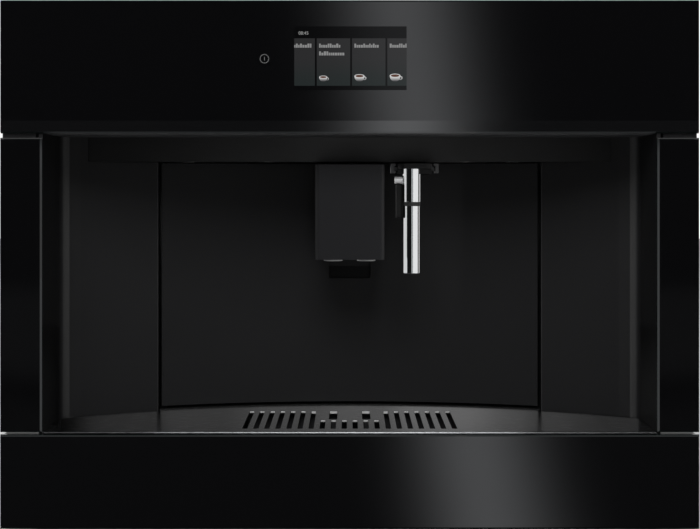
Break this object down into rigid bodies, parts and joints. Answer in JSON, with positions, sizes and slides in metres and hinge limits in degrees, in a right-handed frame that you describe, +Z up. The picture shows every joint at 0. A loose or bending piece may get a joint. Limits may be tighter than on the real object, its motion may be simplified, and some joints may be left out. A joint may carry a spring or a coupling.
{
  "type": "built-in coffee machine",
  "caption": "Built-in coffee machine with black glass front, curved recess, sliding coffee spout, plug-on hot-water spout, hinged service door, drip tray, lift-out tank and telescopic rails.",
  "frame": {"origin": "centre of the footprint on the cabinet shelf", "axes": "+X to the viewer's right along the width, +Y to the rear, +Z up"},
  "size_m": [0.595, 0.398, 0.455],
  "materials": {
    "front_glass": "polished black glass, back-printed",
    "display": "touch display module",
    "frame_black": "black moulded frame",
    "pillar_black": "satin black cheek",
    "wing_black": "satin black paint",
    "ceiling_black": "satin black paint",
    "bar_black": "satin black",
    "lens_clear": "frosted lens",
    "floor_black": "black moulding",
    "tray_steel": "dark polished steel",
    "basin_black": "black moulding",
    "float_red": "red moulding",
    "door_black": "satin black paint",
    "liner_black": "black moulding",
    "pin_steel": "bright steel",
    "nozzle_grey": "dark grey moulding",
    "spout_black": "satin black",
    "carriage_black": "black moulding",
    "outlet_chrome": "chrome",
    "head_black": "satin black",
    "tube_chrome": "polished chrome",
    "seal_rubber": "dark rubber",
    "pin_chrome": "satin chrome",
    "lever_black": "black moulding",
    "button_satin": "satin",
    "case_steel": "galvanised sheet",
    "screw_steel": "zinc-plated",
    "rail_steel": "zinc-plated sheet",
    "ball_steel": "bearing steel",
    "tank_clear": "clear tinted plastic",
    "lid_black": "black moulding",
    "socket_grey": "grey moulding",
    "pump_body": "dark paint",
    "heater_aluminium": "cast",
    "hose_silicone": "translucent silicone",
    "hopper_smoke": "smoked plastic",
    "grinder_body": "cast",
    "burr_steel": "hardened steel",
    "knob_black": "black moulding",
    "infuser_black": "black moulding",
    "carriage_grey": "grey moulding",
    "spindle_steel": "bright steel",
    "motor_steel": "grey paint",
    "container_black": "black moulding",
    "board_green": "solder mask",
    "inlet_black": "black moulding",
    "switch_black": "black moulding"
  },
  "bodies": {
    "cabinet_rails": {"cabinet_rails": "rail_steel"},
    "middle_rails": {"middle_rails": "rail_steel", "rail_balls": "ball_steel"},
    "machine": {"machine_rails": "rail_steel", "base_plate": "case_steel", "side_panels": "case_steel", "rear_panel": "case_steel", "top_cover": "case_steel", "case_screws": "screw_steel", "control_panel_glass": "front_glass", "control_panel_frame": "frame_black", "display_module": "display", "pillar_glass": "front_glass", "pillar_frame_right": "pillar_black", "pillar_frame_left": "pillar_black", "lower_panel_glass": "front_glass", "lower_panel_frame": "frame_black", "recess_ceiling": "ceiling_black", "recess_wing_right": "wing_black", "recess_wing_left": "wing_black", "light_bar": "bar_black", "light_lenses": "lens_clear", "recess_floor": "floor_black", "tank_socket": "socket_grey", "water_pump": "pump_body", "thermoblock": "heater_aluminium", "water_hoses": "hose_silicone", "bean_hopper": "hopper_smoke", "grinder_housing": "grinder_body", "infuser_frame": "infuser_black", "brew_motor": "motor_steel", "grounds_container": "container_black", "control_board": "board_green", "power_inlet": "inlet_black"},
    "service_door": {"service_door": "door_black", "door_liner": "liner_black", "door_hinge_pins": "pin_steel", "water_nozzle": "nozzle_grey"},
    "coffee_spout": {"spout_cover": "spout_black", "spout_carriage": "carriage_black", "spout_outlets": "outlet_chrome"},
    "hot_water_spout": {"water_spout_head": "head_black", "water_tube_sleeve": "tube_chrome", "tube_seal_ring": "seal_rubber", "water_tube": "tube_chrome", "lever_pin": "pin_chrome"},
    "release_button_left": {"release_button_left": "button_satin"},
    "release_button_right": {"release_button_right": "button_satin"},
    "release_lever": {"release_lever": "lever_black"},
    "drip_tray": {"drip_tray_plate": "tray_steel", "drip_tray_basin": "basin_black"},
    "tray_float": {"tray_float": "float_red"},
    "water_tank": {"water_tank": "tank_clear"},
    "tank_lid": {"tank_lid": "lid_black"},
    "bean_lid": {"bean_lid": "lid_black"},
    "grind_knob": {"grind_knob": "knob_black"},
    "main_switch": {"main_switch": "switch_black"},
    "brew_carriage": {"brew_carriage": "carriage_grey"},
    "brew_spindle": {"brew_spindle": "spindle_steel"},
    "grinder_burr": {"grinder_burr": "burr_steel"}
  },
  "joints": [
    {"name": "machine_slide", "type": "slide", "parent": "cabinet_rails", "child": "machine", "axis": [0, -1, 0], "range_m": [0, 0.3]},
    {"name": "middle_rail_slide", "type": "slide", "parent": "cabinet_rails", "child": "middle_rails", "axis": [0, -1, 0], "range_m": [0, 0.15]},
    {"name": "door_hinge", "type": "hinge", "parent": "machine", "child": "service_door", "pos_m": [-0.1733, -0.09009, 0.088], "axis": [0, 0, 1], "range_deg": [-95, 0]},
    {"name": "coffee_spout_slide", "type": "slide", "parent": "service_door", "child": "coffee_spout", "axis": [0, 0, -1], "range_m": [0, 0.056]},
    {"name": "water_spout_pull", "type": "slide", "parent": "service_door", "child": "hot_water_spout", "axis": [0, -1, 0], "range_m": [0, 0.045]},
    {"name": "release_button_left_press", "type": "slide", "parent": "hot_water_spout", "child": "release_button_left", "axis": [1, 0, 0], "range_m": [0, 0.0015], "stiffness_N_per_m": 400},
    {"name": "release_button_right_press", "type": "slide", "parent": "hot_water_spout", "child": "release_button_right", "axis": [-1, 0, 0], "range_m": [0, 0.0015], "stiffness_N_per_m": 400},
    {"name": "release_lever_turn", "type": "hinge", "parent": "hot_water_spout", "child": "release_lever", "pos_m": [0.04365, -0.144, 0.302], "axis": [-1, 0, 0], "range_deg": [0, 15], "stiffness_Nm_per_rad": 0.05},
    {"name": "drip_tray_lift", "type": "slide", "parent": "machine", "child": "drip_tray", "axis": [0, 0, 1], "range_m": [0, 0.045]},
    {"name": "tray_float_rise", "type": "slide", "parent": "drip_tray", "child": "tray_float", "axis": [0, 0, 1], "range_m": [0, 0.012]},
    {"name": "water_tank_lift", "type": "slide", "parent": "machine", "child": "water_tank", "axis": [0, 0, 1], "range_m": [0, 0.15]},
    {"name": "tank_lid_hinge", "type": "hinge", "parent": "water_tank", "child": "tank_lid", "pos_m": [0.2055, 0.1764, 0.4395], "axis": [-1, 0, 0], "range_deg": [0, 95]},
    {"name": "bean_lid_hinge", "type": "hinge", "parent": "machine", "child": "bean_lid", "pos_m": [-0.06, 0.1067, 0.4435], "axis": [-1, 0, 0], "range_deg": [0, 95]},
    {"name": "grind_knob_turn", "type": "hinge", "parent": "machine", "child": "grind_knob", "pos_m": [-0.185, 0.016, 0.44], "axis": [0, 0, 1], "range_deg": [0, 270]},
    {"name": "main_switch_rock", "type": "hinge", "parent": "machine", "child": "main_switch", "pos_m": [-0.172, 0.193, 0.035], "axis": [-1, 0, 0], "range_deg": [0, 16]},
    {"name": "brew_carriage_lift", "type": "slide", "parent": "machine", "child": "brew_carriage", "axis": [0, 0, 1], "range_m": [0, 0.036]},
    {"name": "brew_spindle_turn", "type": "hinge", "parent": "machine", "child": "brew_spindle", "pos_m": [0.045, 0.096, 0.128], "axis": [0, 0, 1], "continuous": true},
    {"name": "grinder_burr_spin", "type": "hinge", "parent": "machine", "child": "grinder_burr", "pos_m": [-0.065, 0.016, 0.3453], "axis": [0, 0, 1], "continuous": true}
  ],
  "couplings": [
    {"joint": "middle_rail_slide", "follows": "machine_slide", "ratio": 0.5},
    {"joint": "brew_spindle_turn", "follows": "brew_carriage_lift", "rad_per_m": 785.4}
  ]
}
